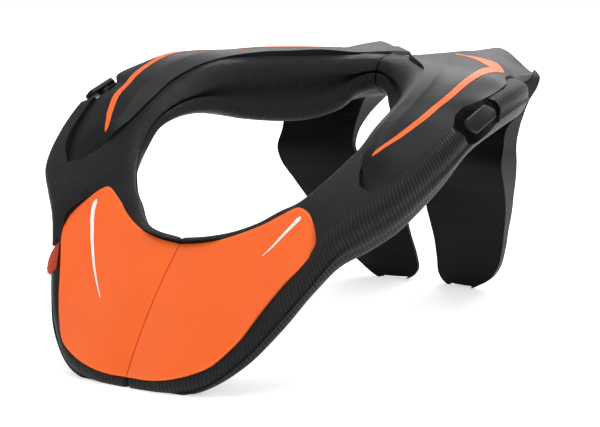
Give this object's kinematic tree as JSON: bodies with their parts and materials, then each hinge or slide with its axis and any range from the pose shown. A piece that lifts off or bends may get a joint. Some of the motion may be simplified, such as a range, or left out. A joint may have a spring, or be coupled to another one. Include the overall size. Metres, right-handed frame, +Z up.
{
  "type": "motocross neck brace",
  "caption": "Hinged neck brace: padded collar with a hard chest plate, shoulder decks, strap hooks and padded back wings.",
  "frame": {"origin": "on the surface that the brace stands on, under the middle of its box", "axes": "+Z up, -Y towards the chest plate at the front, +X towards the wearer's left"},
  "size_m": [0.2568, 0.3219, 0.1521],
  "materials": {
    "roll": "fine woven carbon-look skin over padding",
    "plate": "satin orange",
    "deck": "satin charcoal",
    "stripe": "satin orange",
    "hook": "satin",
    "shell": "satin",
    "pad": "matte foam skin",
    "hinge": "satin",
    "tab": "satin red"
  },
  "bodies": {
    "left_half": {"collar_roll_left": "roll", "front_plate_left": "plate", "side_panel_left": "deck", "stripe_left": "stripe", "strap_hook_left": "hook", "wing_shell_left": "shell", "wing_pad_left": "pad", "hinge_left": "hinge"},
    "right_half": {"collar_roll_right": "roll", "front_plate_right": "plate", "side_panel_right": "deck", "stripe_right": "stripe", "strap_hook_right": "hook", "wing_shell_right": "shell", "wing_pad_right": "pad", "hinge_right": "hinge"},
    "tab": {"release_tab": "tab"}
  },
  "joints": [
    {"name": "opening_hinge", "type": "hinge", "parent": "left_half", "child": "right_half", "pos_m": [0, 0.1288, 0.134], "axis": [0, 0, -1], "range_deg": [0, 22]},
    {"name": "release_tab_swing", "type": "hinge", "parent": "right_half", "child": "tab", "pos_m": [-0.07936, -0.11048, 0.05867], "axis": [0, 0.829, -0.5593], "range_deg": [0, 25]}
  ]
}
